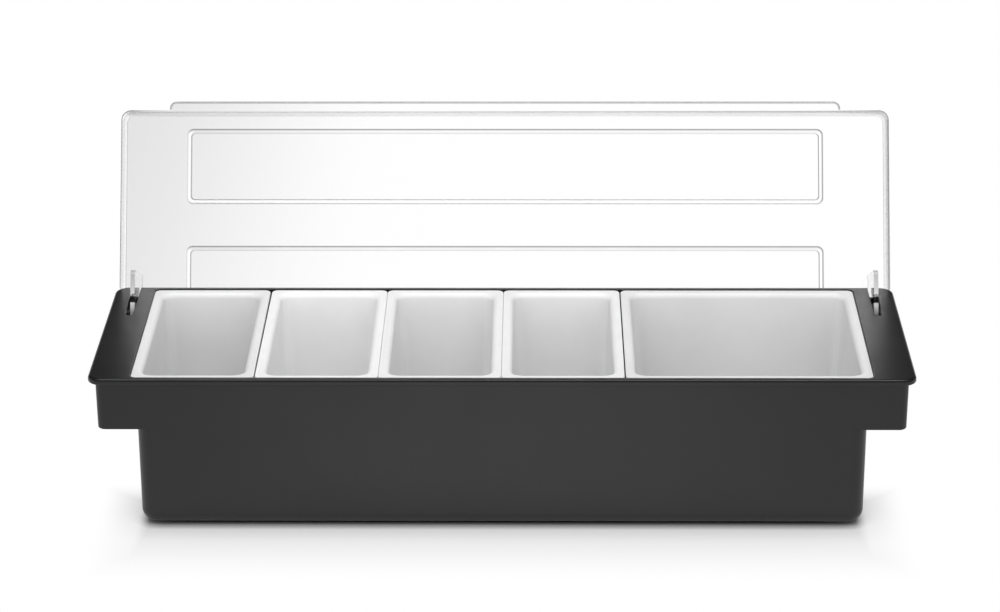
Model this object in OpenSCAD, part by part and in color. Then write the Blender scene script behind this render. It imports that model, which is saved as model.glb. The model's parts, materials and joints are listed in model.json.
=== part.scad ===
// Bar condiment caddy. A drafted tray with a hollow hand grip at each end holds four small
// pans and one large one, and a clear lid swings on two hooked arms at the back.
// Origin under the middle of the tray, +Z up, the front of the caddy faces -Y.

/* [Pans] */
// Width of a small pan over its rim
pan_w = 74.4; // [60:0.1:100]
// Depth of every pan over its rim, front to back
pan_d = 146.2; // [125:0.1:180]
// Height of a pan from its rim to its underside
pan_h = 84; // [60:1:110]
// Gap between the rims of neighbouring pans
pan_gap = 0.4; // [0.2:0.1:2]
// Thickness of the pan walls and floors
pan_wall = 1.6; // [1.2:0.1:2.5]
// Thickness of a pan's rim
pan_rim_t = 2.2; // [1.5:0.1:4]
// Width of a pan's rim, from its edge to the inside of the wall
pan_rim_w = 6.3; // [5.5:0.1:9]
// Radius of a pan rim's outer corners, in plan
pan_rim_r = 4; // [3:0.5:9]
// Radius of the soft inner edge of a pan's rim
pan_roll_r = 3.4; // [1:0.1:4]
// Radius of a pan's upright corners, inside
pan_corner_r = 9; // [8.5:0.5:18]
// Radius where a pan's walls meet its floor, inside
pan_floor_r = 7; // [3:0.5:8]
// Draft of the pan walls, in degrees
pan_draft = 2.2; // [0.5:0.1:4]

/* [Tray] */
// Thickness of the tray's walls
wall = 2.2; // [1.8:0.1:3]
// Thickness of the tray's floor
floor_t = 2.5; // [1.8:0.1:5]
// Free height between the pans and the tray's floor
pan_room = 11.7; // [4:0.1:30]
// How far the pan rims lie below the top of the tray
pan_sink = 0.8; // [0:0.1:1.5]
// Clearance round the pans in their recess
seat_clear = 0.3; // [0.1:0.1:1]
// Clearance between the end pans' walls and the tray's end walls
end_clear = 0.3; // [0.2:0.1:1.5]
// Width of the ledge that carries the pans at the front and back
side_ledge = 2.8; // [2.2:0.1:3.2]
// Width of the flat shelf at each end
shelf_w = 25.5; // [24.5:0.1:60]
// Width of the narrow rail in front of and behind the pans
rail_w = 4.1; // [3.2:0.1:12]
// Height of the rim's edge
rim_t = 4; // [3.5:0.1:6]
// Radius of the rim's corners, in plan
rim_corner_r = 9; // [5:0.5:15]
// Radius along the rim's upper edge
rim_top_r = 1.5; // [0.5:0.1:2]
// Radius along the rim's lower edge
rim_under_r = 1; // [0.3:0.1:1.4]
// Radius of the tray's upright corners
tray_corner_r = 10; // [9:0.5:20]
// Radius along the tray's bottom edge
tray_foot_r = 8; // [3:0.5:8.5]
// Draft of the tray's outside, in degrees
tray_draft = 0.6; // [0.2:0.1:1.5]

/* [Hand grips] */
// Height of a hand grip, from the top of the rim to its lower edge
grip_h = 35; // [32:1:60]
// How far the rim stands out past a grip's end wall
grip_inset = 4.2; // [3:0.1:6]
// Radius of a grip's upright corners
grip_corner_r = 5; // [4:0.5:12]

/* [Lid] */
// Angle to which the lid opens, in degrees from shut
lid_open = 116; // [105:1:120]
// Height of the lid above the rim, without its raised panels
lid_h = 11.4; // [11:0.1:16]
// Thickness of the lid's sheet
lid_t = 2; // [1.5:0.1:3]
// Gap between the shut lid and the rim
lid_gap = 0.3; // [0.2:0.1:1]
// Clearance between the swinging lid and the rim's back edge
lid_swing_clear = 0.4; // [0.2:0.1:1]
// How far the lid's sides stand in from the rim's ends
lid_side_inset = 1.2; // [1:0.1:5]
// How far the lid's front stands in from the rim's front
lid_front_inset = 2.2; // [1.6:0.1:4]
// Radius of the lid's upright corners
lid_corner_r = 6.5; // [5.5:0.5:15]
// Radius along the lid's upper edge, outside
lid_edge_r = 2; // [1:0.1:2.4]
// Draft of the lid's sides, in degrees
lid_draft = 6; // [2:0.5:8]
// Clearance between the open lid's back and the tray's back wall
lid_back_clear = 0.6; // [0.3:0.1:2]
// Number of raised panels on the lid
panels = 2; // [1:1:3]
// Distance from the lid's sides to the raised panels
panel_side = 41.8; // [20:0.1:80]
// Distance from the lid's front and back to the raised panels
panel_end = 10.6; // [8:0.1:20]
// Distance between the raised panels
panel_gap = 28; // [10:0.1:40]
// Height that the panels are raised
panel_rise = 1.2; // [0.6:0.1:2]
// Width of the sloped border of a raised panel
panel_border = 2.8; // [1:0.1:4]
// Radius of a raised panel's corners, at its foot
panel_r = 4; // [3:0.5:8]
// How far the finger lip stands out from the lid's front
lip_reach = 6; // [4:0.5:14]
// Distance from the lid's sides to the ends of the finger lip
lip_end = 31.4; // [15:0.1:150]
// Thickness of the finger lip
lip_t = 2; // [1.5:0.1:3]
// Radius of the finger lip's corners
lip_r = 4.5; // [1:0.5:5.5]

/* [Hinge] */
// Depth of the hinge axis below the top of the rim
pivot_drop = 12.5; // [10.5:0.1:14]
// Gap between the open lid and the sharp back corner of the rim
lean_gap = 0.1; // [0.05:0.05:1]
// Distance from the rim's end to the middle of a hinge arm
arm_inset = 13.35; // [12:0.05:15]
// Thickness of a hinge arm
arm_t = 3.2; // [2:0.1:4]
// Width of a hinge arm's neck
neck_w = 14.2; // [9:0.1:20]
// Clearance between the neck of the arm and the tray's back wall, lid open
neck_clear = 1.2; // [0.5:0.1:3]
// Depth of a hinge arm's foot below the axis
foot_drop = 17.5; // [12:0.1:18.5]
// Radius of the round heel of a hinge arm
heel_r = 12; // [9.5:0.5:12]
// Radius of the front corner of a hinge arm's foot
toe_r = 4; // [2:0.5:5]
// Diameter of the hinge pins on the arms
pin_d = 6; // [4:0.1:7]
// Clearance round a hinge pin in its hole
pin_clear = 0.05; // [0.02:0.01:0.1]
// Length of a hinge pin inside its hole
pin_grip = 2.2; // [1.5:0.1:2.3]
// Plastic round a hinge pin's hole
cheek_wall = 3; // [2:0.1:5]
// Thickness of the inner cheek that carries a hinge pin
cheek_t = 2.5; // [2.4:0.1:4]
// Clearance between an arm and the inner edge of its slot
slot_in = 0.95; // [0.3:0.05:1.5]
// Clearance between an arm and the outer edge of its slot, at the front
slot_out = 0.55; // [0.3:0.05:1]
// How much wider a slot is at the back
slot_flare = 1.8; // [0:0.1:1.8]
// Clearance in front of the swinging foot at the front of a slot
slot_front = 0.5; // [0.3:0.1:3]
// How far the notch in the back wall lies below the rim
notch_drop = 1; // [0.5:0.1:2]

/* [Hidden] */
$fn = 96;
corner_steps = 8;        // chords in each rounded corner of a section
bury = 0.6;              // depth to which a joined detail runs into its neighbour
over = 1;                // how far a cutter runs past what it cuts
edge_break = 0.3;        // small chamfer on the rims' underside and the recess
pan_edge_r = 0.9;        // radius of a pan rim's upper outer edge
well_corner_r = tray_corner_r - wall;

// Heights
rim_z = floor_t + pan_room + pan_h + pan_sink;   // top of the rim
lip_z = rim_z - rim_t;                           // underside of the rim
ledge_z = rim_z - pan_sink - pan_rim_t;          // ledge under the pan rims
grip_z = rim_z - grip_h;                         // lower edge of the hand grips

// Half sizes in plan, from the pans outwards
small_pans = 4;
pitch = pan_w + pan_gap;
large_w = 2 * pan_w + pan_gap;
block_w = small_pans * pitch + large_w;
recess_x = block_w / 2 + seat_clear;
recess_y = pan_d / 2 + seat_clear;
well_x = block_w / 2 - pan_in(pan_rim_t) + pan_wall + end_clear;
well_y = recess_y - side_ledge;
tray_x = well_x + wall;
tray_y = well_y + wall;
rim_x = recess_x + shelf_w;
rim_y = recess_y + rail_w;
grip_x = rim_x - grip_inset;

// Hinge, worked out from the open lid leaning past the rim's back edge
lean_c = -cos(lid_open);
lean_s = sin(lid_open);
edge_rise = pivot_drop + lid_gap;                // lid's free edge above the axis, shut
sheet_rise = edge_rise + lid_h - lid_t;          // underside of the lid's sheet above the axis
pivot_z = rim_z - pivot_drop;
pivot_y = rim_y + lean_gap - lean_s * edge_rise
    - lean_c * (lip_z - pivot_z + lean_c * edge_rise) / lean_s;
notch_z = lip_z - notch_drop;
neck_back = lean_s * (notch_z + neck_clear - pivot_z) + lean_c * (tray_y - pivot_y);
arm_front = neck_back + neck_w;
arm_x = rim_x - arm_inset;
toe_swing = norm([arm_front - toe_r, foot_drop - toe_r]) + toe_r;
relief_r = norm([rim_y - rim_top_r - pivot_y, pivot_drop - rim_top_r]) + rim_top_r + lid_swing_clear;
slot_y = pivot_y - sqrt(pow(toe_swing, 2) - pow(lip_z - pivot_z, 2)) - slot_front;
slot_x_in = arm_x - arm_t / 2 - slot_in;
slot_x_out = arm_x + arm_t / 2 + slot_out;
boss_x = slot_x_out + slot_flare;

// Lid, shut
lid_x = rim_x - lid_side_inset;
lid_front_y = lid_front_inset - rim_y;
lid_back_y = pivot_y + (lean_s * sheet_rise - (tray_y + lid_back_clear - pivot_y)) / lean_c;
lid_mid_y = (lid_front_y + lid_back_y) / 2;
lid_half_y = (lid_back_y - lid_front_y) / 2;
lid_z = rim_z + lid_gap;
panel_x = lid_x - panel_side;
panel_d = (2 * lid_half_y - 2 * panel_end - (panels - 1) * panel_gap) / panels;

// One level of a loft is [z, half width, half depth, corner radius].
function ring(level) = [
    for (corner = [0:3], step = [0:corner_steps])
        let (angle = 90 * (corner + step / corner_steps),
             side_x = corner == 0 || corner == 3 ? 1 : -1,
             side_y = corner < 2 ? 1 : -1)
        [side_x * (level[1] - level[3]) + level[3] * cos(angle),
         side_y * (level[2] - level[3]) + level[3] * sin(angle),
         level[0]]
];

// Solid skin through the levels. The first level is closed from below and the last from above.
module loft(levels) {
    count = 4 * (corner_steps + 1);
    last = len(levels) - 1;
    polyhedron(
        points = [for (level = levels) each ring(level)],
        faces = concat(
            [[for (i = [0:count - 1]) i]],
            [for (k = [0:last - 1], i = [0:count - 1])
                let (j = (i + 1) % count)
                [k * count + i, (k + 1) * count + i, (k + 1) * count + j, k * count + j]],
            [[for (i = [count - 1:-1:0]) last * count + i]]
        ),
        convexity = 6
    );
}

// Flat rectangle with round corners
module round_rect(w, d, r) {
    square([w - 2 * r, d], center = true);
    square([w, d - 2 * r], center = true);
    for (x = [-1, 1], y = [-1, 1])
        translate([x * (w / 2 - r), y * (d / 2 - r)]) circle(r);
}

// Profile in the plane across the hinge, its first axis running back and its second up
module across(x0, x1) {
    translate([x0, pivot_y, pivot_z]) rotate([90, 0, 90]) linear_extrude(x1 - x0) children();
}

module pin(x0, x1, d) {
    translate([x0, pivot_y, pivot_z]) rotate([0, 90, 0]) cylinder(d = d, h = x1 - x0);
}

// ---- tray ----

function tray_in(z) = (lip_z - z) * tan(tray_draft);

// Hand grip block and rim in one, solid
module upper_block() {
    loft(concat(
        [[grip_z, grip_x - tray_in(grip_z), tray_y - tray_in(grip_z), grip_corner_r],
         [lip_z, grip_x, tray_y, grip_corner_r]],
        [for (a = [0:30:90])
            let (inset = rim_under_r * (1 - sin(a)))
            [lip_z + rim_under_r * (1 - cos(a)), rim_x - inset, rim_y - inset, rim_corner_r - inset]],
        [for (a = [0:18:90])
            let (inset = rim_top_r * (1 - cos(a)))
            [rim_z - rim_top_r * (1 - sin(a)), rim_x - inset, rim_y - inset, rim_corner_r - inset]]
    ));
}

// Body of the tray below the grips, solid
module lower_block() {
    foot_x = tray_x - tray_in(lip_z - grip_z);
    loft(concat(
        [for (a = [0:15:90])
            let (z = tray_foot_r * (1 - cos(a)),
                 inset = tray_foot_r * (1 - sin(a)))
            [z, foot_x + z * tan(tray_draft) - inset, tray_y - tray_in(z) - inset, tray_corner_r - inset]],
        [[grip_z, tray_x, tray_y - tray_in(grip_z), tray_corner_r]]
    ));
}

// Room for the pans, with the stepped recess that takes their rims
module well() {
    round_r = tray_foot_r - wall;
    loft(concat(
        [for (a = [0:15:90])
            let (rise = round_r * (1 - cos(a)),
                 inset = round_r * (1 - sin(a)) + tray_in(floor_t + rise))
            [floor_t + rise, well_x - inset, well_y - inset, well_corner_r - round_r * (1 - sin(a))]],
        [[ledge_z, well_x, well_y, well_corner_r],
         [ledge_z, recess_x, recess_y, pan_rim_r + seat_clear],
         [rim_z - edge_break, recess_x, recess_y, pan_rim_r + seat_clear],
         [rim_z, recess_x + edge_break, recess_y + edge_break, pan_rim_r + seat_clear + edge_break],
         [rim_z + over, recess_x + edge_break, recess_y + edge_break, pan_rim_r + seat_clear + edge_break]]
    ));
}

module grip_hollow() {
    hollow_w = grip_x - wall - tray_x;
    translate([tray_x + hollow_w / 2, 0, grip_z - over])
        linear_extrude(lip_z - grip_z + over)
            round_rect(hollow_w, 2 * (tray_y - wall), grip_corner_r - wall);
}

// Slot for a hinge arm, open at the back and wider there
module arm_slot() {
    translate([0, 0, notch_z])
        linear_extrude(rim_z - notch_z + over)
            polygon([[slot_x_in, slot_y], [slot_x_out, slot_y],
                     [boss_x, rim_y + over], [slot_x_in, rim_y + over]]);
}

// Round-ended plate that hangs from the rim and carries a hinge pin
module cheek_profile() {
    cheek_r = pin_d / 2 + pin_clear + cheek_wall;
    circle(cheek_r);
    translate([-cheek_r, 0]) square([2 * cheek_r, lip_z - pivot_z + bury]);
}

module pin_cheeks() {
    across(slot_x_in - cheek_t, slot_x_in) cheek_profile();
    across(boss_x, grip_x - wall + bury) cheek_profile();
}

module base_tray() {
    color([0.15, 0.15, 0.16]) difference() {
        union() {
            difference() {
                union() {
                    upper_block();
                    lower_block();
                }
                well();
                for (side = [0, 1]) mirror([side, 0, 0]) grip_hollow();
            }
            for (side = [0, 1]) mirror([side, 0, 0]) pin_cheeks();
        }
        for (side = [0, 1]) mirror([side, 0, 0]) {
            arm_slot();
            pin(slot_x_in - cheek_t - over, boss_x + pin_grip + bury / 2, pin_d + 2 * pin_clear);
        }
    }
}

// ---- pans ----

// Distance from the rim's edge to the inside of the wall, at a depth below the rim
function pan_in(depth) = pan_rim_w + depth * tan(pan_draft);

module pan(w) {
    hx = w / 2;
    hy = pan_d / 2;
    outer_r = pan_floor_r + pan_wall;
    floor_depth = pan_h - pan_wall;
    level = function(depth, inset, r) [-depth, hx - inset, hy - inset, r];
    loft(concat(
        // outside, from the floor up
        [for (a = [0:22.5:90])
            let (depth = pan_h - outer_r * (1 - cos(a)),
                 inset = outer_r * (1 - sin(a)))
            level(depth, pan_in(depth) - pan_wall + inset, pan_corner_r + pan_wall - inset)],
        [level(pan_rim_t, pan_in(pan_rim_t) - pan_wall, pan_corner_r + pan_wall),
         level(pan_rim_t, edge_break, pan_rim_r - edge_break),
         level(pan_rim_t - edge_break, 0, pan_rim_r)],
        // over the rim
        [for (a = [0:30:90])
            let (inset = pan_edge_r * (1 - cos(a)))
            level(pan_edge_r * (1 - sin(a)), inset, pan_rim_r - inset)],
        // down the inside
        [for (a = [0:18:90])
            let (depth = pan_roll_r * (1 - cos(a)),
                 across_roll = pan_roll_r * (1 - sin(a)))
            level(depth, pan_in(depth) - across_roll, pan_corner_r)],
        [for (a = [90:-22.5:0])
            let (depth = floor_depth - pan_floor_r * (1 - cos(a)),
                 inset = pan_floor_r * (1 - sin(a)))
            level(depth, pan_in(depth) + inset, pan_corner_r - inset)]
    ));
}

// Small pans fill the places from the left, and the large one the two places after them.
module pan_at(place, w) {
    translate([place * pitch - block_w / 2 + w / 2, 0, rim_z - pan_sink])
        color([0.96, 0.96, 0.95]) pan(w);
}

module small_pan(number) {
    pan_at(number - 1, pan_w);
}

module large_pan() {
    pan_at(small_pans, large_w);
}

// ---- lid ----

module lid_shell() {
    slope = tan(lid_draft);
    inner_r = 0.8;
    level = function(z, inset) [z, lid_x - inset, lid_half_y - inset, lid_corner_r - inset * 0.8];
    loft(concat(
        // underside of the sheet, then down inside the sides
        [for (a = [0:30:90])
            let (z = lid_h - lid_t - inner_r * (1 - cos(a)))
            level(z, lid_t + z * slope + inner_r * (1 - sin(a)))],
        [level(0, lid_t), level(0, 0)],
        // up the outside and round on to the top
        [for (a = [0:18:90])
            let (z = lid_h - lid_edge_r * (1 - sin(a)))
            level(z, z * slope + lid_edge_r * (1 - cos(a)))]
    ));
}

// Raised panel, drawn full, from the given depth below the lid's top
module panel_block(top, foot) {
    grow = panel_border * (lid_h - foot) / panel_rise;
    loft([
        [foot, panel_x + grow, panel_d / 2 + grow, panel_r + grow],
        [top, panel_x - panel_border, panel_d / 2 - panel_border, panel_r - panel_border / 2]
    ]);
}

module at_panels() {
    for (n = [0:panels - 1])
        translate([0, -lid_half_y + panel_end + panel_d / 2 + n * (panel_d + panel_gap), 0])
            children();
}

module finger_lip() {
    lip_w = 2 * (lid_x - lip_end);
    translate([0, -lid_half_y - lip_reach / 2 + lip_r, 0])
        linear_extrude(lip_t) round_rect(lip_w, lip_reach + 2 * lip_r, lip_r);
}

// Sheet with its sides, panels and lip, standing on z = 0 about its own middle
module lid_sheet() {
    difference() {
        union() {
            lid_shell();
            at_panels() panel_block(lid_h + panel_rise, lid_h - bury);
        }
        at_panels() translate([0, 0, -lid_t]) panel_block(lid_h + panel_rise, lid_h - bury);
    }
    finger_lip();
}

// Hooked arm, seen across the hinge with the axis at the origin and the lid shut
module arm_profile() {
    foot_top = pin_d / 2 + 1.5;
    heel = [heel_r - foot_drop + 2, heel_r - foot_drop];
    fillet = 2;
    translate(heel) circle(heel_r);
    translate([-arm_front + toe_r, -foot_drop])
        square([arm_front - toe_r + heel[0], foot_top + foot_drop]);
    translate([-arm_front, -foot_drop + toe_r])
        square([neck_w, foot_drop - toe_r + sheet_rise + bury]);
    translate([-arm_front + toe_r, -foot_drop + toe_r]) circle(toe_r);
    translate([-neck_back, foot_top]) difference() {
        square(fillet);
        translate([fillet, fillet]) circle(fillet);
    }
}

module hinge_arm() {
    across(arm_x - arm_t / 2, arm_x + arm_t / 2) arm_profile();
    pin(slot_x_in - pin_grip, boss_x + pin_grip, pin_d);
}

module swing(angle) {
    translate([0, pivot_y, pivot_z]) rotate([-angle, 0, 0]) translate([0, -pivot_y, -pivot_z])
        children();
}

// Round the hinge the sides are cut away to swing past the rim's back edge, and the back of the
// sheet is cut to stand upright along the tray's back wall when the lid is open.
module lid() {
    color([0.86, 0.91, 0.93, 0.45]) {
        difference() {
            swing(lid_open) translate([0, lid_mid_y, lid_z]) lid_sheet();
            pin(-rim_x, rim_x, 2 * relief_r);
            translate([-rim_x, 0, 0]) cube([2 * rim_x, tray_y + lid_back_clear / 2, lip_z]);
        }
        for (side = [0, 1]) mirror([side, 0, 0]) swing(lid_open) hinge_arm();
    }
}

base_tray();
lid();
small_pan(1);  // small_pan_1
small_pan(2);  // small_pan_2
small_pan(3);  // small_pan_3
small_pan(4);  // small_pan_4
large_pan();
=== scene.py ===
import json
from math import atan, cos, pi, radians, sin, tan

import bmesh
import bpy
from mathutils import Matrix, Vector


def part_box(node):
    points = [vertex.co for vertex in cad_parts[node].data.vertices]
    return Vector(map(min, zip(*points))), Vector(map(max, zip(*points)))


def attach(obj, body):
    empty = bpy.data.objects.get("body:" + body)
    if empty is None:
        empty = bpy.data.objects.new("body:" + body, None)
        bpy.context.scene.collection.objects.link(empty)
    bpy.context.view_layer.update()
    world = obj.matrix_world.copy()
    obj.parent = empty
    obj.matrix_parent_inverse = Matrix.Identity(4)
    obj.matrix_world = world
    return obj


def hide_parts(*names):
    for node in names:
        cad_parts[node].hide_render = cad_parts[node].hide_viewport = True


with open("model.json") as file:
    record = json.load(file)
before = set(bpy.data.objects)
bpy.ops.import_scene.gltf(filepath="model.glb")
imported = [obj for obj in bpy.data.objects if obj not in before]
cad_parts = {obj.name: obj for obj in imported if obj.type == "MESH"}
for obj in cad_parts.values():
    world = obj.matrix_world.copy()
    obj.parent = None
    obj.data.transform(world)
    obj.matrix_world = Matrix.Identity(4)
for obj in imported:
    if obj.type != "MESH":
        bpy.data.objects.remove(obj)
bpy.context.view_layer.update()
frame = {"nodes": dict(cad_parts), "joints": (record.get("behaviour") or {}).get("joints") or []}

# Pieces are modelled in millimetres, in the frame's axes, and made metres when they are finished.
mm = 0.001
tiny = 0.01  # places closer than this are the same
past = 1.0  # how far a cutter runs past the face it cuts
buried = 0.6  # how far a joined solid runs into its neighbour
cornerSegments = 14  # in the round corner of a ring
outlineSegments = 12  # in the round corner of a plate
sharpAngle = 32  # degrees, past which an edge stays hard
print("frame loaded:", ", ".join(sorted(frame["nodes"])))


def quarter(steps):
    return [pi / 2 * step / steps for step in range(steps + 1)]


def ring(bm, halfX, halfY, z, radius):
    # edges of a rectangle with round corners, flat at height z
    before = set(bm.edges)
    corners = bmesh.ops.create_grid(bm, x_segments=1, y_segments=1, size=1)["verts"]
    bmesh.ops.scale(bm, vec=(halfX, halfY, 1), verts=corners)
    bmesh.ops.translate(bm, vec=(0, 0, z), verts=corners)
    bmesh.ops.bevel(bm, geom=corners, offset=radius, segments=cornerSegments, profile=0.5,
                    affect="VERTICES", material=-1)
    edges = [edge for edge in bm.edges if edge not in before]
    bmesh.ops.delete(bm, geom=list(edges[0].link_faces), context="FACES_ONLY")
    return edges


def bridge(bm, rings):
    # rings are held apart while they are joined, so that two in one plane aren't joined crosswise
    apart = Vector((0, 0, 20))
    for lower, upper in zip(rings, rings[1:]):
        verts = list({vert for edge in upper for vert in edge.verts})
        bmesh.ops.translate(bm, vec=apart, verts=verts)
        bmesh.ops.bridge_loops(bm, edges=lower + upper)
        bmesh.ops.translate(bm, vec=-apart, verts=verts)


def close(bm, rings):
    # walls between the rings, and a face over each end
    bridge(bm, rings)
    for end in (rings[0], rings[-1]):
        bmesh.ops.contextual_create(bm, geom=end)


def sliceAt(bm, y):
    # extra edges across everything at this y
    everything = bm.verts[:] + bm.edges[:] + bm.faces[:]
    bmesh.ops.bisect_plane(bm, geom=everything, plane_no=(0, 1, 0), plane_co=(0, y, 0))


def loft(bm, levels, centre=(0, 0)):
    # closed solid through rings, each (halfX, halfY, z, radius)
    close(bm, [ring(bm, *level) for level in levels])
    bmesh.ops.translate(bm, vec=(*centre, 0), verts=bm.verts)


def grow(bm, vec):
    # the faces made so far, given a thickness
    grown = bmesh.ops.extrude_face_region(bm, geom=bm.faces[:])
    moved = [item for item in grown["geom"] if isinstance(item, bmesh.types.BMVert)]
    bmesh.ops.translate(bm, vec=vec, verts=moved)


def plate(bm, corners, low, high):
    # outline in the y-z plane, each corner (y, z, radius), given a thickness along x
    verts = [bm.verts.new((low, y, z)) for y, z, radius in corners]
    bm.faces.new(verts)
    count = len(corners)
    for index, (vert, (y, z, radius)) in enumerate(zip(verts, corners)):
        if radius:
            here = Vector((y, z))
            toLast = (Vector(corners[index - 1][:2]) - here).normalized()
            toNext = (Vector(corners[(index + 1) % count][:2]) - here).normalized()
            turn = pi - toLast.angle(toNext)
            bmesh.ops.bevel(bm, geom=[vert], offset=radius * tan(turn / 2),
                            segments=outlineSegments, profile=0.5, affect="VERTICES", material=-1)
    grow(bm, (high - low, 0, 0))


def rod(bm, low, high, radius, y, z, chamfer=0.0, segments=64):
    turn = Matrix.Translation(((low + high) / 2, y, z)) @ Matrix.Rotation(pi / 2, 4, "Y")
    made = bmesh.ops.create_cone(bm, cap_ends=True, segments=segments, radius1=radius,
                                 radius2=radius, depth=high - low, matrix=turn)
    if chamfer:
        rims = {edge for vert in made["verts"] for edge in vert.link_edges
                if any(len(face.verts) > 4 for face in edge.link_faces)}
        bmesh.ops.bevel(bm, geom=list(rims), offset=chamfer, segments=1, profile=0.5,
                        affect="EDGES", material=-1)


def solid(name, build):
    # object in millimetres from a function that fills a bmesh
    bm = bmesh.new()
    build(bm)
    bmesh.ops.recalc_face_normals(bm, faces=bm.faces)
    if bm.calc_volume(signed=True) < 0:
        bmesh.ops.reverse_faces(bm, faces=bm.faces)
    mesh = bpy.data.meshes.new(name)
    bm.to_mesh(mesh)
    bm.free()
    thing = bpy.data.objects.new(name, mesh)
    bpy.context.scene.collection.objects.link(thing)
    return thing


def combine(thing, other, operation):
    modifier = thing.modifiers.new("combine", "BOOLEAN")
    modifier.operation = operation
    modifier.solver = "MANIFOLD"
    modifier.object = other
    evaluated = thing.evaluated_get(bpy.context.evaluated_depsgraph_get())
    result = bpy.data.meshes.new_from_object(evaluated)
    thing.modifiers.clear()
    old = thing.data
    thing.data = result
    bpy.data.meshes.remove(old)
    bpy.data.objects.remove(other)


def mirrored(thing):
    # the same solid on the other side of x = 0
    twin = thing.copy()
    twin.data = thing.data.copy()
    bpy.context.scene.collection.objects.link(twin)
    twin.data.transform(Matrix.Scale(-1, 4, (1, 0, 0)))
    twin.data.flip_normals()
    return twin


def onBothSides(thing, other, operation):
    twin = mirrored(other)
    combine(thing, other, operation)
    combine(thing, twin, operation)


def finished(thing, body, nodes, material):
    # metres, smooth shading with hard edges kept, finish, and its place in the frame
    welded = 0.0005
    bm = bmesh.new()
    bm.from_mesh(thing.data)
    bmesh.ops.remove_doubles(bm, verts=bm.verts, dist=welded)
    bmesh.ops.dissolve_degenerate(bm, edges=bm.edges, dist=welded)
    bmesh.ops.scale(bm, vec=(mm, mm, mm), verts=bm.verts)
    for edge in bm.edges:
        edge.smooth = edge.calc_face_angle(0) < radians(sharpAngle)
    for face in bm.faces:
        face.smooth = True
    openEdges = sum(not edge.is_manifold for edge in bm.edges)
    print(thing.name, len(bm.faces), "faces,", openEdges, "open edges")
    bm.to_mesh(thing.data)
    bm.free()
    normals = thing.modifiers.new("normals", "WEIGHTED_NORMAL")
    normals.keep_sharp = True
    thing.data.materials.clear()
    thing.data.materials.append(material)
    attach(thing, body)
    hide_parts(*nodes)


def linear(hexColour):
    channels = [int(hexColour[place:place + 2], 16) / 255 for place in (1, 3, 5)]
    return [c / 12.92 if c <= 0.04045 else ((c + 0.055) / 1.055) ** 2.4 for c in channels] + [1]


def addNode(tree, kind, settings=None, inputs=None):
    # one node with its settings, and its inputs set to values or linked to sockets or nodes
    node = tree.nodes.new("ShaderNode" + kind)
    for key, value in (settings or {}).items():
        setattr(node, key, value)
    for key, value in (inputs or {}).items():
        if isinstance(value, bpy.types.Node):
            value = value.outputs[0]
        if isinstance(value, bpy.types.NodeSocket):
            tree.links.new(value, node.inputs[key])
        else:
            node.inputs[key].default_value = value
    return node


# settings and values that many nodes share
colours = {"data_type": "RGBA"}
times = {"operation": "MULTIPLY"}
timesPlus = {"operation": "MULTIPLY_ADD"}
larger = {"operation": "MAXIMUM"}
soft = {"interpolation_type": "SMOOTHSTEP"}
noiseSpan = {"From Min": 0.3, "From Max": 0.7}  # where most of a noise lies


def newMaterial(name):
    material = bpy.data.materials.new(name)
    material.use_nodes = True
    tree = material.node_tree
    tree.nodes.clear()
    return material, tree, addNode(tree, "TexCoord").outputs["Object"]


# sizes in millimetres
trayFinish = {
    "tones": ("#121213", "#151516"), "roughness": (0.35, 0.29), "cloudSize": 35,
    "grainSize": 0.7,  # the eroded grain is nearer 0.1, too fine to show, so it is drawn coarser
    "grainDepth": 0.0012, "ior": 1.53,
}
panFinish = {
    "tones": ("#dddddd", "#e1e1e1"), "cloudSize": 28, "roughness": (0.29, 0.36), "skinSize": 9,
    "hollowSize": 7, "hollowStretch": (1, 1, 0.25), "hollowDepth": 0.01, "ior": 1.49,
}
lidFinish = {
    "flat": "#e8e8e8", "bent": "#202020", "roughness": (0.015, 0.03), "wipeSize": 22, "ior": 1.57,
    "rubbed": "#bcbcbc", "shadowTint": "#f4f4f4", "longestPath": 3.5,
}


def makeTrayPlastic():
    # ABS coloured black right through. The mould is spark eroded to a fine even matt and then
    # stroked with stone, so light spreads softly from a very fine grain, and hands leave it
    # smoother in clouds.
    material, tree, place = newMaterial("moulded ABS, satin black")
    clouds = addNode(tree, "TexNoise", None,
                     {"Vector": place, "Scale": 1 / (trayFinish["cloudSize"] * mm), "Detail": 3})
    cloudy = addNode(tree, "MapRange", None, {"Value": clouds, **noiseSpan})
    first, second = [linear(tone) for tone in trayFinish["tones"]]
    colour = addNode(tree, "Mix", colours, {0: cloudy, 6: first, 7: second}).outputs[2]
    rough, smoother = trayFinish["roughness"]
    roughness = addNode(tree, "MapRange", None,
                        {"Value": clouds, **noiseSpan, "To Min": rough, "To Max": smoother})
    grain = addNode(tree, "TexNoise", None,
                    {"Vector": place, "Scale": 1 / (trayFinish["grainSize"] * mm), "Detail": 2})
    relief = addNode(tree, "Bump", None,
                     {"Height": grain, "Distance": trayFinish["grainDepth"] * mm, "Strength": 1})
    shader = addNode(tree, "BsdfPrincipled", None, {
        "Base Color": colour, "Roughness": roughness, "Normal": relief, "IOR": trayFinish["ior"]})
    addNode(tree, "OutputMaterial", None, {"Surface": shader})
    return material


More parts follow.
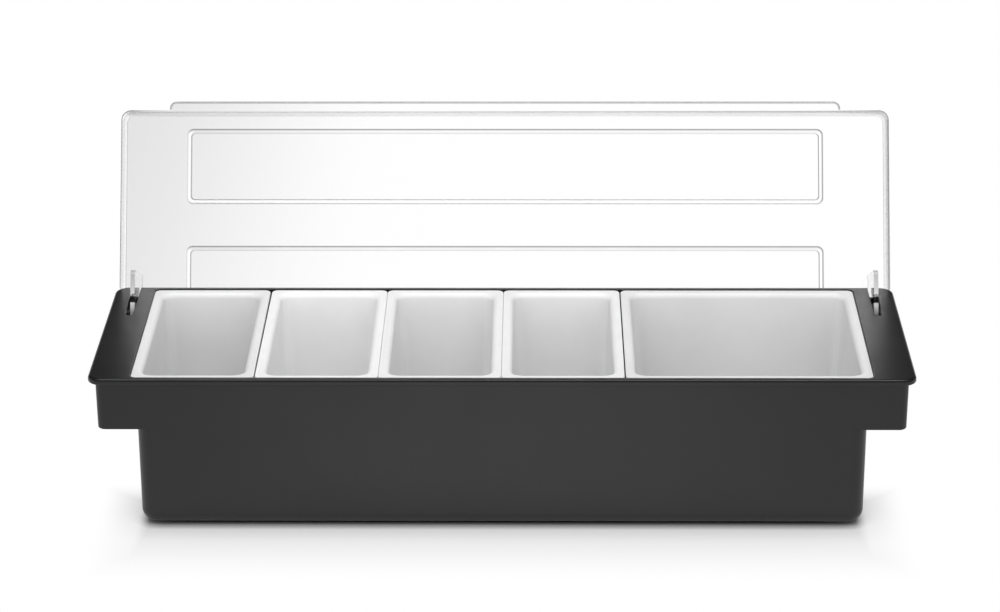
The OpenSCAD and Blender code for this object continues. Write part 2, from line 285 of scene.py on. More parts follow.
def makePanPlastic():
    # Polypropylene filled with white pigment, milky and slightly waxy. It shrinks as it cools in a
    # polished mould, which leaves slow hollows along the flow and a soft skin that is never quite
    # even in its shine.
    material, tree, place = newMaterial("moulded polypropylene, white")
    clouds = addNode(tree, "TexNoise", None,
                     {"Vector": place, "Scale": 1 / (panFinish["cloudSize"] * mm), "Detail": 2})
    cloudy = addNode(tree, "MapRange", None, {"Value": clouds, **noiseSpan})
    first, second = [linear(tone) for tone in panFinish["tones"]]
    tinted = addNode(tree, "Mix", colours, {0: cloudy, 6: first, 7: second}).outputs[2]
    # painted light: the object colour makes some pans brighter than others
    paintedLight = addNode(tree, "ObjectInfo").outputs["Color"]
    colour = addNode(tree, "Mix", {**colours, "blend_type": "MULTIPLY"},
                     {0: 1, 6: tinted, 7: paintedLight}).outputs[2]
    skin = addNode(tree, "TexNoise", None,
                   {"Vector": place, "Scale": 1 / (panFinish["skinSize"] * mm), "Detail": 2})
    glossy, duller = panFinish["roughness"]
    roughness = addNode(tree, "MapRange", None,
                        {"Value": skin, **noiseSpan, "To Min": glossy, "To Max": duller})
    along = addNode(tree, "Mapping", {"vector_type": "POINT"},
                    {"Vector": place, "Scale": panFinish["hollowStretch"]})
    hollows = addNode(tree, "TexNoise", None,
                      {"Vector": along, "Scale": 1 / (panFinish["hollowSize"] * mm), "Detail": 1})
    relief = addNode(tree, "Bump", None,
                     {"Height": hollows, "Distance": panFinish["hollowDepth"] * mm, "Strength": 1})
    shader = addNode(tree, "BsdfPrincipled", None, {
        "Base Color": colour, "Roughness": roughness, "Normal": relief, "IOR": panFinish["ior"]})
    addNode(tree, "OutputMaterial", None, {"Surface": shader})
    return material


def makeLidPlastic():
    # Clear styrene from a polished mould: glassy and a little grey by its thickness, with wipe
    # marks that soften its mirror image in patches.
    # Its colour also carries painted shade along the turns of the sheet, the lip and the arms, set
    # side by side, and painted highlight where that amount is below zero.
    # The heels of the hinge arms rub in their slots and are matt.
    material, tree, place = newMaterial("moulded styrene, clear")
    # painted shade, and painted highlight below zero, read from the mesh
    bend = addNode(tree, "Attribute", {"attribute_name": "bend"}).outputs["Fac"]
    colour = addNode(tree, "Mix", {**colours, "clamp_factor": False}, {
        0: bend, 6: linear(lidFinish["flat"]), 7: linear(lidFinish["bent"])}).outputs[2]
    wipes = addNode(tree, "TexNoise", None,
                    {"Vector": place, "Scale": 1 / (lidFinish["wipeSize"] * mm), "Detail": 4})
    glassy, wiped = lidFinish["roughness"]
    roughness = addNode(tree, "MapRange", None,
                        {"Value": wipes, **noiseSpan, "To Min": glassy, "To Max": wiped})
    glass = addNode(tree, "BsdfPrincipled", None, {
        "Base Color": colour, "Roughness": roughness, "IOR": lidFinish["ior"],
        "Transmission Weight": 1})
    rubbed = addNode(tree, "BsdfDiffuse", None, {"Color": linear(lidFinish["rubbed"])})
    matt = addNode(tree, "Attribute", {"attribute_name": "matt"}).outputs["Fac"]
    surface = addNode(tree, "MixShader", None, {0: matt, 1: glass, 2: rubbed})
    # light on its way to other pieces, and light caught inside the sheet, goes straight through
    path = addNode(tree, "LightPath").outputs
    onward = addNode(tree, "Math", larger, {0: path["Is Shadow Ray"], 1: path["Is Diffuse Ray"]})
    caught = addNode(tree, "Math", {"operation": "GREATER_THAN"},
                     {0: path["Ray Depth"], 1: lidFinish["longestPath"]})
    through = addNode(tree, "Math", larger, {0: onward, 1: caught})
    straight = addNode(tree, "BsdfTransparent", None, {"Color": linear(lidFinish["shadowTint"])})
    mixed = addNode(tree, "MixShader", None, {0: through, 1: surface, 2: straight})
    addNode(tree, "OutputMaterial", None, {"Surface": mixed})
    return material


trayPlastic = makeTrayPlastic()
panPlastic = makePanPlastic()
lidPlastic = makeLidPlastic()
print("finishes made")


def boxInMm(node):
    return [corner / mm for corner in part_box(node)]


# the rim is the tray's widest and highest part, and the pans' tops lie at one height
rimX, rimY, rimZ = boxInMm("base_tray")[1]
panNodes = sorted(node for node in frame["nodes"] if node.startswith("small_pan")) + ["large_pan"]
panBoxes = {node: boxInMm(node) for node in panNodes}
panHigh = panBoxes["large_pan"][1]
lidHinge = next(joint for joint in frame["joints"] if joint["name"] == "lid_hinge")
hingeY, hingeZ = (value / mm for value in lidHinge["pos_m"][1:])
openAngle = radians(lidHinge["range_deg"][1] - lidHinge["range_deg"][0])

pan = {
    "wall": 1.6, "draft": radians(2.2), "corner": 9.0,
    "innerCorner": 6.9, "floorRadius": 7.0, "floorCornerShare": 0.9,
    "rimRise": 0.25, "rimThick": 2.45, "rimWidth": 6.3, "rimCorner": 4.0,
    "edgeRadius": 0.6, "rollRadius": 3.4, "underEdge": 0.3, "neckRadius": 0.8,
}


def panIn(depth):
    # from the rim's edge to the inside of the wall, at a depth below the rim
    return pan["rimWidth"] + depth * tan(pan["draft"])


def panLevels(halfX, halfY, top, bottom):
    height = top - bottom
    wall, thick = pan["wall"], pan["rimThick"]
    outerCorner = pan["corner"] + wall
    levels = []

    def level(depth, inset, radius):
        levels.append((halfX - inset, halfY - inset, top - depth, radius))

    outerRadius = pan["floorRadius"] + wall
    for angle in quarter(10):  # outside, from the floor up
        depth = height - outerRadius * (1 - cos(angle))
        inset = outerRadius * (1 - sin(angle))
        level(depth, panIn(depth) - wall + inset, outerCorner - inset)
    neck = pan["neckRadius"]
    for angle in quarter(4):  # hollow of the wall under the rim
        depth = thick + neck * (1 - sin(angle))
        level(depth, panIn(depth) - wall - neck * (1 - cos(angle)), outerCorner)
    under = pan["underEdge"]
    for angle in quarter(3):
        inset = under * (1 - sin(angle))
        level(thick - under * (1 - cos(angle)), inset, pan["rimCorner"] - inset)
    edge = pan["edgeRadius"]
    for angle in quarter(6):  # over the rim
        inset = edge * (1 - cos(angle))
        level(edge * (1 - sin(angle)), inset, pan["rimCorner"] - inset)
    roll = pan["rollRadius"]
    for angle in quarter(12):  # down the inside
        depth = roll * (1 - cos(angle))
        outset = roll * (1 - sin(angle))
        level(depth, panIn(depth) - outset, pan["innerCorner"] + outset)
    floorRadius = pan["floorRadius"]
    for angle in reversed(quarter(12)):
        depth = height - wall - floorRadius * (1 - cos(angle))
        inset = floorRadius * (1 - sin(angle))
        level(depth, panIn(depth) + inset, pan["innerCorner"] - inset * pan["floorCornerShare"])
    return levels


# pans lie loose in the recess, pushed back, each some millimetres to the right and degrees turned
pushedBack = 0.1
settled = {"small_pan_1": (-0.1, 0.12), "small_pan_2": (0.3, 0), "small_pan_4": (-0.3, 0)}
# and each is given its own painted light, which makes some a shade whiter
paintedBrightness = dict(zip(panNodes, (1.05, 1.19, 1.12, 1.12, 1.01)))


def pieceName(node):
    # small_pan_1 is named smallPan1
    first, *others = node.split("_")
    return first + "".join(word.capitalize() for word in others)


def makePans():
    for node in panNodes:
        low, high = panBoxes[node]
        size = high - low
        levels = panLevels(size.x / 2, size.y / 2, high.z + pan["rimRise"], low.z)
        piece = solid(pieceName(node), lambda bm: loft(bm, levels))
        shift, turned = settled.get(node, (0, 0))
        place = ((low.x + high.x) / 2 + shift, (low.y + high.y) / 2 + pushedBack, 0)
        piece.data.transform(Matrix.Translation(place) @ Matrix.Rotation(radians(turned), 4, "Z"))
        piece.color = (paintedBrightness[node],) * 3 + (1,)
        finished(piece, node, [node], panPlastic)


makePans()
print("pans made")

tray = {
    "wall": 2.2, "floor": 2.5, "draft": radians(0.6),
    "rimThick": 4.0, "rimCorner": 9.0, "rimTopRadius": 1.8, "rimUnderRadius": 1.0,
    "bodyCorner": 10.0, "footRadius": 8.0,
    "gripHeight": 35.0, "gripInset": 4.2, "gripCorner": 5.0, "gripEdge": 0.8,
    "gripCeilingRadius": 1.5, "gripOverlap": 2.0,
    "seatClear": 0.3, "endClear": 0.3, "ledge": 2.8, "recessEdge": 0.5,
}
lipZ = rimZ - tray["rimThick"]
gripZ = rimZ - tray["gripHeight"]
ledgeZ = panHigh.z + pan["rimRise"] - pan["rimThick"]
recessX = panHigh.x + tray["seatClear"]
recessY = panHigh.y + tray["seatClear"]
wellX = panHigh.x - panIn(pan["rimThick"]) + pan["wall"] + tray["endClear"]
wellY = recessY - tray["ledge"]
bodyX = wellX + tray["wall"]
bodyY = wellY + tray["wall"]
gripX = rimX - tray["gripInset"]


def drafted(z):
    return (lipZ - z) * tan(tray["draft"])


def upperLevels():
    # hand grips and rim, as one solid block
    levels = []
    edge = tray["gripEdge"]
    for angle in quarter(4):
        z = gripZ + edge * (1 - cos(angle))
        turned = edge * (1 - sin(angle))
        inset = turned + drafted(z)
        levels.append((gripX - inset, bodyY - inset, z, tray["gripCorner"] - turned))
    levels.append((gripX, bodyY, lipZ, tray["gripCorner"]))
    under = tray["rimUnderRadius"]
    for angle in quarter(5):
        z = lipZ + under * (1 - cos(angle))
        inset = under * (1 - sin(angle))
        levels.append((rimX - inset, rimY - inset, z, tray["rimCorner"] - inset))
    over = tray["rimTopRadius"]
    for angle in quarter(8):
        z = rimZ - over * (1 - sin(angle))
        inset = over * (1 - cos(angle))
        levels.append((rimX - inset, rimY - inset, z, tray["rimCorner"] - inset))
    return levels


def bodyLevels():
    # the box under the grips, which runs up inside them a hair behind their faces
    hair = 0.05
    foot, corner = tray["footRadius"], tray["bodyCorner"]
    footX = bodyX - drafted(gripZ)
    levels = []
    for angle in quarter(12):
        z = foot * (1 - cos(angle))
        inset = foot * (1 - sin(angle))
        levels.append((footX + z * tan(tray["draft"]) - inset, bodyY - drafted(z) - inset, z,
                       corner - inset))
    joinZ = gripZ + tray["gripEdge"]
    joinY = bodyY - drafted(joinZ)
    levels.append((bodyX, joinY, joinZ, corner))
    levels.append((bodyX - hair, joinY - hair, joinZ, corner))
    levels.append((bodyX - hair, joinY - hair, lipZ + past, corner))
    return levels


def wellLevels():
    # room for the pans, with the stepped recess for their rims
    innerRadius = tray["footRadius"] - tray["wall"]
    wellCorner = tray["bodyCorner"] - tray["wall"]
    recessCorner = pan["rimCorner"] + tray["seatClear"]
    edge = tray["recessEdge"]
    levels = []
    for angle in quarter(10):
        z = tray["floor"] + innerRadius * (1 - cos(angle))
        turned = innerRadius * (1 - sin(angle))
        inset = turned + drafted(z)
        levels.append((wellX - inset, wellY - inset, z, wellCorner - turned))
    levels.append((wellX, wellY, ledgeZ, wellCorner))
    levels.append((recessX, recessY, ledgeZ, recessCorner))
    for angle in quarter(4):
        z = rimZ - edge * (1 - sin(angle))
        outset = edge * (1 - cos(angle))
        levels.append((recessX + outset, recessY + outset, z, recessCorner + outset))
    levels.append((recessX + edge, recessY + edge, rimZ + past, recessCorner + edge))
    return levels


def gripHollowLevels(halfX, halfY):
    radius = tray["gripCeilingRadius"]
    corner = tray["gripCorner"] - tray["wall"]
    levels = [(halfX, halfY, gripZ - past, corner)]
    for angle in reversed(quarter(5)):
        z = lipZ - radius * (1 - cos(angle))
        inset = radius * (1 - sin(angle))
        levels.append((halfX - inset, halfY - inset, z, corner - inset))
    return levels


# the rounds are a hair under their radius, so that two of them don't meet in one point
hinge = {
    "armInset": 13.35, "armThick": 3.0, "armEdge": 0.35, "neckBack": 13.78, "neckWidth": 14.2,
    "footDrop": 17.5, "heelRadius": 12.0, "heelRound": 0.999, "heelAhead": 2.0,
    "toeRadius": 4.0, "throatRadius": 2.0,
    "pin": 6.0, "pinClear": 0.05, "pinGrip": 2.2, "pinCover": 1.5, "pinEndClear": 0.3,
    "pinChamfer": 0.4, "cheekWall": 3.0, "cheekThick": 2.5, "cheekRound": 0.99,
    "slotInner": 0.95, "slotOuter": 0.55, "slotFlare": 1.8, "slotFront": 28.37, "slotEdge": 0.4,
    "notchDrop": 1.0, "lidSweep": 22.0,
}
armX = rimX - hinge["armInset"]
slotInX = armX - hinge["armThick"] / 2 - hinge["slotInner"]
slotOutX = armX + hinge["armThick"] / 2 + hinge["slotOuter"]
cheekOutX = slotOutX + hinge["slotFlare"]
cheekRadius = hinge["pin"] / 2 + hinge["pinClear"] + hinge["cheekWall"]


def slotCutter(bm):
    # open at the back and wider there, with the mouth's edge broken
    backY = rimY + past
    edge = hinge["slotEdge"]

    def mouth(z, outset):
        front = hinge["slotFront"] - outset
        corners = ((slotInX - outset, front), (slotOutX + outset, front),
                   (cheekOutX + outset, backY), (slotInX - outset, backY))
        verts = [bm.verts.new((x, y, z)) for x, y in corners]
        return [bm.edges.new(pair) for pair in zip(verts, verts[1:] + verts[:1])]

    close(bm, [mouth(lipZ - hinge["notchDrop"], 0), mouth(rimZ - edge, 0), mouth(rimZ, edge),
               mouth(rimZ + past, edge)])


def cheek(bm, low, high):
    top, bottom = lipZ + buried, hingeZ - cheekRadius
    front, back = hingeY - cheekRadius, hingeY + cheekRadius
    radius = cheekRadius * hinge["cheekRound"]
    plate(bm, [(front, top, 0), (front, bottom, radius), (back, bottom, radius), (back, top, 0)],
          low, high)


def pinHole(bm):
    low = slotInX - hinge["cheekThick"] - past
    high = cheekOutX + hinge["pinGrip"] + hinge["pinEndClear"]
    rod(bm, low, high, hinge["pin"] / 2 + hinge["pinClear"], hingeY, hingeZ)


def makeTray():
    piece = solid("tray", lambda bm: loft(bm, upperLevels()))
    inner = bodyX - tray["bodyCorner"] - tray["gripOverlap"]
    outer = gripX - tray["wall"]
    levels = gripHollowLevels((outer - inner) / 2, bodyY - tray["wall"])
    hollow = solid("hollow", lambda bm: loft(bm, levels, ((inner + outer) / 2, 0)))
    onBothSides(piece, hollow, "DIFFERENCE")
    combine(piece, solid("body", lambda bm: loft(bm, bodyLevels())), "UNION")
    combine(piece, solid("well", lambda bm: loft(bm, wellLevels())), "DIFFERENCE")
    for low, high in ((slotInX - hinge["cheekThick"], slotInX), (cheekOutX, outer + buried)):
        onBothSides(piece, solid("cheek", lambda bm: cheek(bm, low, high)), "UNION")
    onBothSides(piece, solid("slot", slotCutter), "DIFFERENCE")
    onBothSides(piece, solid("pinHole", pinHole), "DIFFERENCE")
    finished(piece, "tray", ["base_tray"], trayPlastic)


makeTray()
print("tray made")

# shades are painted shade in each turn of the clear sheet on its left, right, front and back, and
# painted highlight where they are below zero
lid = {
    "height": 11.38, "sheet": 1.7, "gap": 0.3, "sideInset": 1.1, "aside": 0.3,
    "depth": 147.67, "frontInset": 2.2, "backClear": 0.3, "draft": radians(6),
    "corner": 6.5, "cornerShare": 0.8, "edgeRadius": 2.0, "innerEdgeRadius": 0.5, "freeEdge": 0.4,
    "panels": 2, "panelSide": 42.1, "panelEnd": 11.1, "panelGap": 27.75, "panelRise": 1.2,
    "panelBorder": 2.3, "panelCorner": 4.0, "panelFootRadius": 1.6,
    "lipReach": 5.7, "lipEnd": 31.4, "lipThick": 2.0, "lipCorner": 4.5, "lipEdge": 0.9,
    "lipBand": 0.8, "lipRoot": 1.2,
    "stations": (18.5, 15, 10, 5, 0, -4),  # in front of the axis
    "mattFrom": 6.6, "mattFade": 0.5,
    "lipShade": 0.55, "armShade": 0.4, "toeShade": 0.7,
    "footShade": (0.15, 0.7, 0.72, 0.55),
    "slopeShade": (-0.3, -0.1, 0.08, 0),
    "crestShade": (0.6, 0.7, 0.3, 0.8),
    "outerShades": {
        "edge": (0.95, 0.85, 0.9, 0.6), "side": (-0.3, 0.1, 0.1, 0.1), "turn": (0, 0, 0, 0),
    },
    "innerShades": {
        "edge": (-0.6, 0.4, 0.45, 0.2), "side": (-0.6, 0, 0.3, 0), "turn": (0.6, 0.7, 0.15, 0.2),
    },
}
bendSteps = 6
lidX = rimX - lid["sideInset"]
lidY = lid["depth"] / 2
lidMidY = lidY + lid["frontInset"] - rimY
lidZ = rimZ + lid["gap"]
lipX = lidX - lid["lipEnd"]


def paintedShadeLayer(bm):
    # how much painted shade each vertex takes: none on flat sheet, most in the middle of a turn of
    # the sheet, and painted highlight below zero
    return bm.verts.layers.float.get("bend") or bm.verts.layers.float.new("bend")


def mark(bm, edges, amount):
    layer = paintedShadeLayer(bm)
    for edge in edges:
        for vert in edge.verts:
            vert[layer] = amount


def markAround(bm, edges, straightX, straightY, amount, shade):
    # the same for a ring, its painted shade set by its sides
    layer = paintedShadeLayer(bm)
    left, right, front, back = shade
    for vert in {vert for edge in edges for vert in edge.verts}:
        x, y = vert.co.xy
        across = max(abs(x) - straightX, 0) ** 2
        along = max(abs(y) - straightY, 0) ** 2
        share = across / (across + along)
        sideways = left if x < 0 else right
        lengthways = front if y < 0 else back
        vert[layer] = amount * (share * sideways + (1 - share) * lengthways)


def skirt(bm, under):
    # rings of one face of the lid's side, this far inside its outside, from the free edge up
    slope = tan(lid["draft"])
    free = lid["freeEdge"]
    radius = lid["innerEdgeRadius"] if under else lid["edgeRadius"]
    shades = lid["innerShades"] if under else lid["outerShades"]
    rings = []

    def level(z, inset, shade):
        corner = lid["corner"] - inset * lid["cornerShare"]
        rings.append(ring(bm, lidX - inset, lidY - inset, z, corner))
        # painted shade on this ring, by side, and painted highlight where it is below zero
        markAround(bm, rings[-1], lidX - inset - corner, lidY - inset - corner, 1, shade)

    for angle in quarter(3):
        z = free * (1 - cos(angle))
        turned = free * (1 - sin(angle))
        level(z, (under - turned if under else turned) + z * slope, shades["edge"])
    for angle in quarter(8):
        z = lid["height"] - under - radius * (1 - sin(angle))
        middle = sin(2 * angle)
        started = 1 - middle if angle < pi / 4 else 0
        shade = [side * started + turn * middle
                 for side, turn in zip(shades["side"], shades["turn"])]
        level(z, under + z * slope + radius * (1 - cos(angle)), shade)
    return rings


def crown(bm, under, edge):
    # one face of the lid's top inside a ring of edges, with its raised panels
    top = lid["height"] - under
    count, border, rise = lid["panels"], lid["panelBorder"], lid["panelRise"]
    panelX = lidX - lid["panelSide"]
    panelY = (lidY * 2 - lid["panelEnd"] * 2 - (count - 1) * lid["panelGap"]) / count / 2
    tilt = atan(rise / border)
    footRadius = lid["panelFootRadius"] + under
    crestRadius = lid["panelFootRadius"] + lid["sheet"] - under
    shift = under * tan(tilt / 2)
    footStart = shift - footRadius * tan(tilt / 2)
    crestEnd = shift + border + crestRadius * tan(tilt / 2)

    # each step of the path across the border: inset, height, how much painted shade it takes, and
    # that shade by side
    def foot(turn, bend, shade):
        return footStart + footRadius * sin(turn), footRadius * (1 - cos(turn)), bend, shade

    def crest(turn, bend, shade):
        return crestEnd - crestRadius * sin(turn), rise - crestRadius * (1 - cos(turn)), bend, shade

    # painted shade in the panels' feet and crests, painted highlight on the left and right slopes
    # and painted shade on the front one
    turns = [(tilt * step / bendSteps, sin(pi * step / bendSteps)) for step in range(bendSteps)]
    path = [foot(turn, bend, lid["footShade"]) for turn, bend in turns]
    path += [foot(tilt, 1, lid["slopeShade"]), crest(tilt, 1, lid["slopeShade"])]
    path += [crest(turn, bend, lid["crestShade"]) for turn, bend in reversed(turns)]
    feet = []
    for place in range(count):
        middle = -lidY + lid["panelEnd"] + panelY + place * (2 * panelY + lid["panelGap"])
        rings = []
        for inset, height, bend, shade in path:
            before = set(bm.verts)
            radius = lid["panelCorner"] - inset / 2
            edges = ring(bm, panelX - inset, panelY - inset, top + height, radius)
            markAround(bm, edges, panelX - inset - radius, panelY - inset - radius, bend, shade)
            added = [vert for vert in bm.verts if vert not in before]
            bmesh.ops.translate(bm, vec=(0, middle, 0), verts=added)
            rings.append(edges)
        bridge(bm, rings)
        bmesh.ops.contextual_create(bm, geom=rings[-1])
        feet += rings[0]
    bmesh.ops.triangle_fill(bm, use_beauty=True, edges=edge + feet)


def sheet(bm):
    outside = skirt(bm, 0)
    inside = skirt(bm, lid["sheet"])
    bridge(bm, outside[::-1] + inside)
    crown(bm, 0, outside[-1])
    crown(bm, lid["sheet"], inside[-1])
    bmesh.ops.translate(bm, vec=(0, lidMidY, lidZ), verts=bm.verts)
    for ahead in lid["stations"]:  # they carry the shading up to the cuts at the back
        sliceAt(bm, hingeY - ahead)


def lip(bm):
    # flat strip out of the lid's front, with two round corners
    front = lidMidY - lidY - lid["lipReach"]
    back = lidMidY - lidY + lid["lipRoot"]
    corners = ((lipX, front), (lipX, back), (-lipX, back), (-lipX, front))
    face = bm.faces.new([bm.verts.new((x, y, lidZ)) for x, y in corners])
    ends = [vert for vert in face.verts if vert.co.y < front + tiny]
    bmesh.ops.bevel(bm, geom=ends, offset=lid["lipCorner"], segments=cornerSegments, profile=0.5,
                    affect="VERTICES", material=-1)
    grow(bm, (0, 0, lid["lipThick"]))
    around = [edge for edge in bm.edges if edge.verts[0].co.z == edge.verts[1].co.z
              and min(vert.co.y for vert in edge.verts) < back]
    bmesh.ops.bevel(bm, geom=around, offset=lid["lipEdge"], segments=3, profile=0.5,
                    affect="EDGES", material=-1)
    flats = [face for face in bm.faces if abs(face.normal.z) > 0.99]
    # painted shade along the strip's rounded edges, none on a band of its flat faces
    shaded = [edge for edge in bm.edges if max(vert.co.y for vert in edge.verts) < back - tiny]
    mark(bm, shaded, lid["lipShade"])
    bmesh.ops.inset_region(bm, faces=flats, thickness=lid["lipBand"], use_even_offset=True)
    mark(bm, [edge for face in flats for edge in face.edges], 0)


def armOutline():
    # hooked arm across the hinge with the lid shut: neck in front, foot under the axis
    radius = hinge["heelRadius"]
    front = -hinge["neckBack"] - hinge["neckWidth"]
    back = -hinge["neckBack"]
    foot = -hinge["footDrop"]
    heelZ = radius + foot
    heelY = heelZ + hinge["heelAhead"]
    heelTop = heelZ + radius
    step = hinge["pin"] / 2 + hinge["pinCover"]
    rootTop = rimZ + lid["gap"] + lid["height"] - lid["sheet"] - hingeZ + buried
    chord = ((heelTop - step) * (radius * 2 - (heelTop - step))) ** 0.5
    lean = atan(chord / (step - heelZ))
    outline = [(front, rootTop, 0), (front, foot, hinge["toeRadius"]),
               (heelY + radius, foot, radius), (heelY + radius, heelTop, radius),
               (heelY - radius * tan(lean / 2), heelTop, radius * hinge["heelRound"]),
               (heelY - chord, step, 0), (back, step, hinge["throatRadius"]), (back, rootTop, 0)]
    return [(hingeY + y, hingeZ + z, r) for y, z, r in outline]


def arm(bm):
    low, high = armX - hinge["armThick"] / 2, armX + hinge["armThick"] / 2
    plate(bm, armOutline(), low, high)
    around = [edge for edge in bm.edges
              if abs(edge.verts[0].co.x - edge.verts[1].co.x) < tiny]
    bmesh.ops.bevel(bm, geom=around, offset=hinge["armEdge"], segments=2, profile=0.5,
                    affect="EDGES", material=-1)
    for ahead in (lid["mattFrom"], lid["mattFrom"] + lid["mattFade"]):
        sliceAt(bm, hingeY - ahead)
    # painted shade on the arm's narrow faces, darker at the toe
    bend, matt = (bm.verts.layers.float.new(name) for name in ("bend", "matt"))
    toeFrom = hinge["toeRadius"] - hinge["neckBack"] - hinge["neckWidth"]
    for vert in bm.verts:
        y, z = vert.co.y - hingeY, vert.co.z - hingeZ
        if low + tiny < vert.co.x < high - tiny:
            vert[bend] = lid["toeShade"] if y < toeFrom and z < 0 else lid["armShade"]
        if y > -lid["mattFrom"] - tiny and z < 0:
            vert[matt] = 1


def pin(bm):
    rod(bm, slotInX - hinge["pinGrip"], cheekOutX + hinge["pinGrip"], hinge["pin"] / 2,
        hingeY, hingeZ, chamfer=hinge["pinChamfer"])


def sweep(bm):
    # what the back of the lid passes through on its way round the pins
    rod(bm, -rimX, rimX, hinge["lidSweep"], hingeY, hingeZ, segments=256)


def stop(bm):
    # the tray's back and the room under its rim, which the opened lid's edge must clear
    deep = 100
    place = (0, bodyY + lid["backClear"] - deep / 2, lipZ - deep / 2)
    bmesh.ops.create_cube(bm, size=1, matrix=Matrix.Translation(place)
                          @ Matrix.Diagonal((2 * rimX, deep, deep, 1)))


def makeLid():
    axis = Matrix.Translation((0, hingeY, hingeZ))
    opened = axis @ Matrix.Rotation(-openAngle, 4, "X") @ axis.inverted()
    piece = solid("clearLid", sheet)
    combine(piece, solid("sweep", sweep), "DIFFERENCE")
    combine(piece, solid("lip", lip), "UNION")
    piece.data.transform(opened)
    combine(piece, solid("stop", stop), "DIFFERENCE")
    hooked = solid("arm", arm)
    combine(hooked, solid("pin", pin), "UNION")
    hooked.data.transform(opened)
    onBothSides(piece, hooked, "UNION")
    piece.data.transform(Matrix.Translation((lid["aside"], 0, 0)))
    finished(piece, "lid", ["lid"], lidPlastic)


makeLid()
print("lid made")

# metres and degrees, the lens and its sensor in millimetres
view = {
    "place": (0.0207, -1.8695, 0.8526), "lens": 116.48, "sensor": 36,
    "pitch": 21.495, "turn": -0.684, "roll": -0.21,
}
# metres; a ramp rises from its first place to its second
studio = {
    "lampPlace": (0, -0.15, 1.3), "lampAim": (0, -0.05, 0.1), "lampSize": (1.3, 0.6),
    "lampPower": 9,
    # the room that lights the object, by how far forward and how high it lies
    "ambient": 0.3, "frontLight": 1.13, "frontRamp": (-0.05, -0.6), "frontTop": (0.97, 0.6),
    "mirroredRoom": 0.06, "mirroredRamp": (0.06, 0.16),
    # painted light: more white behind the clear lid, from left to right
    "backlight": 0.3, "skyBacklit": (-0.13, 0), "floorBacklit": (-0.345, -0.09),
    "floorSize": 8, "floorColour": "#ededed", "seenColour": "#f1f1f1",
    "contactReach": 0.0085, "contactPower": 1.5,
    # how far outside the tray's body the shadow fades in front, beside it and behind
    "shadowRamp": (0, 0.08), "besideRamp": (0, 0.03),
    "paleness": 0.6, "palenessRamp": (-0.006, 0.003),
    "behindUpTo": -0.01, "behindRamp": (-0.03, 0),
    "sideGloom": -0.3, "gloomRamp": (-0.2, 0.06),
}
white = (1, 1, 1, 1)
black = (0, 0, 0, 1)


def makeCamera():
    data = bpy.data.cameras.new("camera")
    data.lens = view["lens"]
    data.sensor_width = view["sensor"]
    camera = bpy.data.objects.new("camera", data)
    bpy.context.scene.collection.objects.link(camera)
    camera.matrix_world = (Matrix.Translation(view["place"])
                           @ Matrix.Rotation(radians(-view["turn"]), 4, "Z")
                           @ Matrix.Rotation(radians(90 - view["pitch"]), 4, "X")
                           @ Matrix.Rotation(radians(view["roll"]), 4, "Z"))
    bpy.context.scene.camera = camera


def makeLamp():
    data = bpy.data.lights.new("top softbox", "AREA")
    data.shape = "RECTANGLE"
    data.size, data.size_y = studio["lampSize"]
    data.energy = studio["lampPower"]
    lamp = bpy.data.objects.new("top softbox", data)
    bpy.context.scene.collection.objects.link(lamp)
    lamp.location = studio["lampPlace"]
    toward = Vector(studio["lampAim"]) - Vector(studio["lampPlace"])
    lamp.rotation_euler = toward.to_track_quat("-Z", "Y").to_euler()


def ramp(value, places):
    # inputs of a Map Range that rises from 0 to 1 between two places
    return {"Value": value, "From Min": places[0], "From Max": places[1]}


def seenStraight(tree):
    # 1 for what is seen directly or through clear plastic, 0 for light on its way to the object
    path = addNode(tree, "LightPath").outputs
    clean = addNode(tree, "Math", {"operation": "LESS_THAN"}, {0: path["Diffuse Depth"], 1: 0.5})
    passed = addNode(tree, "Math", times, {0: path["Is Transmission Ray"], 1: clean})
    return addNode(tree, "Math", larger, {0: path["Is Camera Ray"], 1: passed}), path


def backlit(tree, path, sideways, places):
    # 1 for the eye, and painted light stronger to the right for what is seen through clear plastic
    right = addNode(tree, "MapRange", soft, ramp(sideways, places))
    share = addNode(tree, "Math", times, {0: right, 1: path["Is Transmission Ray"]})
    return addNode(tree, "Math", timesPlus, {0: share, 1: studio["backlight"], 2: 1})


def makeWorld():
    # white to the eye; to the object a dim room with a pale front, whose mirror image is white near
    # the floor
    world = bpy.data.worlds.new("studio")
    bpy.context.scene.world = world
    world.use_nodes = True
    tree = world.node_tree
    tree.nodes.clear()
    straight, path = seenStraight(tree)
    toward = addNode(tree, "TexCoord").outputs["Generated"]
    axes = addNode(tree, "SeparateXYZ", None, {0: toward}).outputs
    ahead = addNode(tree, "MapRange", soft, ramp(axes["Y"], studio["frontRamp"]))
    low = addNode(tree, "MapRange", soft, ramp(axes["Z"], studio["frontTop"]))
    front = addNode(tree, "Math", times, {0: ahead, 1: low})
    ambient = addNode(tree, "Math", timesPlus,
                      {0: front, 1: studio["frontLight"], 2: studio["ambient"]})
    mirrored = addNode(tree, "MapRange", soft, {
        **ramp(axes["Z"], studio["mirroredRamp"]), "To Min": 1, "To Max": studio["mirroredRoom"]})
    strength = addNode(tree, "Mix", {"data_type": "FLOAT"},
                       {0: path["Is Glossy Ray"], 2: ambient, 3: mirrored})
    room = addNode(tree, "Background", None, {"Color": white, "Strength": strength})
    bright = addNode(tree, "Background", None, {
        "Color": white, "Strength": backlit(tree, path, axes["X"], studio["skyBacklit"])})
    mixed = addNode(tree, "MixShader", None, {0: straight, 1: room, 2: bright})
    addNode(tree, "OutputWorld", None, {"Surface": mixed})


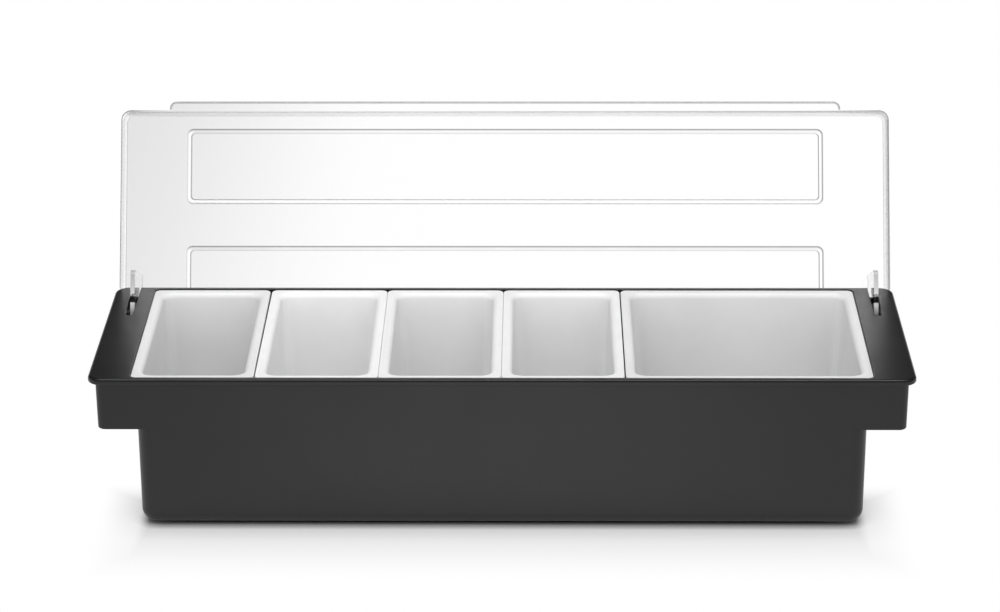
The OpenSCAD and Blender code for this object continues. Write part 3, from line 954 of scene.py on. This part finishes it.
def makeSweep():
    # Matt white sweep. To the eye and in mirror images it keeps the object's shadow in front of its
    # foot, paints that shadow pale with painted light beside and behind the body, and is white
    # farther out.
    material, tree, place = newMaterial("matt white sweep")
    straight, path = seenStraight(tree)
    # painted contact shadow: darker where the foot hangs over it
    paintedContactShadow = addNode(tree, "AmbientOcclusion", {"samples": 8},
                       {"Distance": studio["contactReach"]})
    clear = addNode(tree, "Math", {"operation": "POWER"},
                    {0: paintedContactShadow.outputs["AO"], 1: studio["contactPower"]})
    seenColour = addNode(tree, "Mix", colours, {
        0: clear, 6: black, 7: linear(studio["seenColour"])}).outputs[2]
    colour = addNode(tree, "Mix", colours, {
        0: straight, 6: linear(studio["floorColour"]), 7: seenColour}).outputs[2]
    matt = addNode(tree, "BsdfPrincipled", None, {
        "Base Color": colour, "Roughness": 1, "Specular IOR Level": 0})
    # how far a place lies outside the tray's body
    eachWay = addNode(tree, "VectorMath", {"operation": "ABSOLUTE"}, {0: place})
    outside = addNode(tree, "VectorMath", {"operation": "SUBTRACT"},
                      {0: eachWay, 1: (bodyX * mm, bodyY * mm, 0)})
    out = addNode(tree, "SeparateXYZ", None, {0: outside}).outputs
    axes = addNode(tree, "SeparateXYZ", None, {0: place}).outputs
    # painted light over the shadow beside and behind the body
    atSide = addNode(tree, "MapRange", soft, ramp(out["X"], studio["palenessRamp"]))
    pale = addNode(tree, "Math", times, {0: atSide, 1: studio["paleness"]})
    sideOut = addNode(tree, "MapRange", soft, ramp(out["X"], studio["besideRamp"]))
    beside = addNode(tree, "Math", timesPlus, {0: sideOut, 1: 1 - studio["paleness"], 2: pale})
    backward = addNode(tree, "MapRange", soft, ramp(axes["Y"], (-bodyY * mm, studio["behindUpTo"])))
    sideways = addNode(tree, "MapRange", soft, ramp(out["X"], studio["behindRamp"]))
    behind = addNode(tree, "Math", times, {0: backward, 1: sideways})
    before = addNode(tree, "MapRange", soft, ramp(out["Y"], studio["shadowRamp"]))
    farther = addNode(tree, "Math", larger, {0: beside, 1: before})
    farther = addNode(tree, "Math", larger, {0: farther, 1: behind})
    seen = addNode(tree, "Math", larger, {0: straight, 1: path["Is Glossy Ray"]})
    share = addNode(tree, "Math", times, {0: seen, 1: farther})
    # painted shade: mirror images of the sweep are dimmer beside the object
    reflected = addNode(tree, "Math", times,
                        {0: path["Is Glossy Ray"], 1: path["Is Reflection Ray"]})
    nearSide = addNode(tree, "MapRange", soft, ramp(out["X"], studio["gloomRamp"]))
    gloom = addNode(tree, "Math", times, {0: reflected, 1: nearSide})
    # painted light behind the lid, stronger to the right
    plain = backlit(tree, path, axes["X"], studio["floorBacklit"])
    strength = addNode(tree, "Math", timesPlus, {0: gloom, 1: studio["sideGloom"], 2: plain})
    bright = addNode(tree, "Emission", None, {"Color": white, "Strength": strength})
    mixed = addNode(tree, "MixShader", None, {0: share, 1: matt, 2: bright})
    addNode(tree, "OutputMaterial", None, {"Surface": mixed})
    return material


def makeFloor():
    bm = bmesh.new()
    bmesh.ops.create_grid(bm, x_segments=1, y_segments=1, size=studio["floorSize"])
    mesh = bpy.data.meshes.new("floor")
    bm.to_mesh(mesh)
    bm.free()
    floor = bpy.data.objects.new("floor", mesh)
    bpy.context.scene.collection.objects.link(floor)
    mesh.materials.append(makeSweep())


makeCamera()
makeWorld()
makeFloor()
makeLamp()
bpy.context.scene.view_settings.view_transform = "Standard"
print("studio made")
